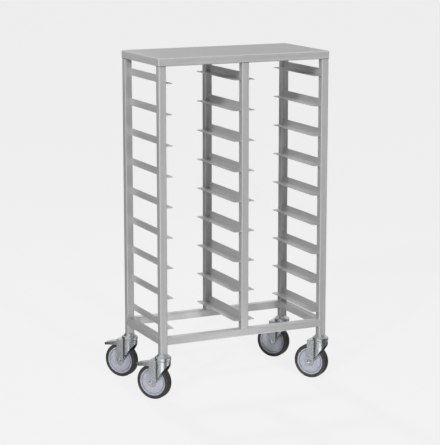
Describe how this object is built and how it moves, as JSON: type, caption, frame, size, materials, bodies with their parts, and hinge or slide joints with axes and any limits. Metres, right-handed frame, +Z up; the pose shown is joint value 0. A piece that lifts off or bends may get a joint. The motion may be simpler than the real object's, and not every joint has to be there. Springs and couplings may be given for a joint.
{
  "type": "tray return trolley",
  "caption": "Stainless steel tray return trolley: square tube frame with bays of angle runners under a folded top cover, on swivel casters with brakes.",
  "frame": {"origin": "on the floor, under the middle of the frame", "axes": "+Z up, +X along the long side of the frame, +Y from the front to the rear"},
  "size_m": [0.8138, 0.4751, 1.344],
  "materials": {
    "stainless": "satin ground stainless steel",
    "zinc": "bright zinc plated steel",
    "bearing": "polished bearing steel",
    "core": "moulded polypropylene, satin",
    "tyre": "matt dark grey rubber",
    "plug": "moulded plastic, matt"
  },
  "bodies": {
    "frame": {"top_cover": "stainless", "post_front_left": "stainless", "post_front_right": "stainless", "post_rear_left": "stainless", "post_rear_right": "stainless", "post_front_middle": "stainless", "post_rear_middle": "stainless", "base_rail_front": "stainless", "base_rail_rear": "stainless", "base_rail_left": "stainless", "base_rail_right": "stainless", "top_rail_front": "stainless", "top_rail_rear": "stainless", "top_rail_left": "stainless", "top_rail_right": "stainless", "runners_left_bay_left": "stainless", "runners_left_bay_right": "stainless", "runners_right_bay_left": "stainless", "runners_right_bay_right": "stainless", "plug_front_left": "plug", "stem_front_left": "zinc", "swivel_head_front_left": "zinc", "swivel_balls_front_left": "bearing", "plug_front_right": "plug", "stem_front_right": "zinc", "swivel_head_front_right": "zinc", "swivel_balls_front_right": "bearing", "plug_rear_left": "plug", "stem_rear_left": "zinc", "swivel_head_rear_left": "zinc", "swivel_balls_rear_left": "bearing", "plug_rear_right": "plug", "stem_rear_right": "zinc", "swivel_head_rear_right": "zinc", "swivel_balls_rear_right": "bearing"},
    "swivel_front_left": {"fork_front_left": "zinc", "axle_bolt_front_left": "zinc", "sleeve_front_left": "zinc", "brake_pin_front_left": "zinc"},
    "wheel_front_left": {"wheel_core_front_left": "core", "tyre_front_left": "tyre"},
    "pedal_front_left": {"brake_pedal_front_left": "zinc"},
    "swivel_front_right": {"fork_front_right": "zinc", "axle_bolt_front_right": "zinc", "sleeve_front_right": "zinc"},
    "wheel_front_right": {"wheel_core_front_right": "core", "tyre_front_right": "tyre"},
    "swivel_rear_left": {"fork_rear_left": "zinc", "axle_bolt_rear_left": "zinc", "sleeve_rear_left": "zinc", "brake_pin_rear_left": "zinc"},
    "wheel_rear_left": {"wheel_core_rear_left": "core", "tyre_rear_left": "tyre"},
    "pedal_rear_left": {"brake_pedal_rear_left": "zinc"},
    "swivel_rear_right": {"fork_rear_right": "zinc", "axle_bolt_rear_right": "zinc", "sleeve_rear_right": "zinc"},
    "wheel_rear_right": {"wheel_core_rear_right": "core", "tyre_rear_right": "tyre"}
  },
  "joints": [
    {"name": "swivel_front_left_turn", "type": "hinge", "parent": "frame", "child": "swivel_front_left", "pos_m": [-0.35, -0.1725, 0.16], "axis": [0, 0, 1], "continuous": true},
    {"name": "wheel_front_left_spin", "type": "hinge", "parent": "swivel_front_left", "child": "wheel_front_left", "pos_m": [-0.37401, -0.14177, 0.07], "axis": [0.788, 0.6157, 0], "continuous": true},
    {"name": "pedal_front_left_press", "type": "hinge", "parent": "swivel_front_left", "child": "pedal_front_left", "pos_m": [-0.37524, -0.14019, 0.145], "axis": [-0.788, -0.6157, 0], "range_deg": [0, 9]},
    {"name": "swivel_front_right_turn", "type": "hinge", "parent": "frame", "child": "swivel_front_right", "pos_m": [0.35, -0.1725, 0.16], "axis": [0, 0, 1], "continuous": true},
    {"name": "wheel_front_right_spin", "type": "hinge", "parent": "swivel_front_right", "child": "wheel_front_right", "pos_m": [0.32599, -0.14177, 0.07], "axis": [0.788, 0.6157, 0], "continuous": true},
    {"name": "swivel_rear_left_turn", "type": "hinge", "parent": "frame", "child": "swivel_rear_left", "pos_m": [-0.35, 0.1725, 0.16], "axis": [0, 0, 1], "continuous": true},
    {"name": "wheel_rear_left_spin", "type": "hinge", "parent": "swivel_rear_left", "child": "wheel_rear_left", "pos_m": [-0.37401, 0.20323, 0.07], "axis": [0.788, 0.6157, 0], "continuous": true},
    {"name": "pedal_rear_left_press", "type": "hinge", "parent": "swivel_rear_left", "child": "pedal_rear_left", "pos_m": [-0.37524, 0.20481, 0.145], "axis": [-0.788, -0.6157, 0], "range_deg": [0, 9]},
    {"name": "swivel_rear_right_turn", "type": "hinge", "parent": "frame", "child": "swivel_rear_right", "pos_m": [0.35, 0.1725, 0.16], "axis": [0, 0, 1], "continuous": true},
    {"name": "wheel_rear_right_spin", "type": "hinge", "parent": "swivel_rear_right", "child": "wheel_rear_right", "pos_m": [0.32599, 0.20323, 0.07], "axis": [0.788, 0.6157, 0], "continuous": true}
  ]
}
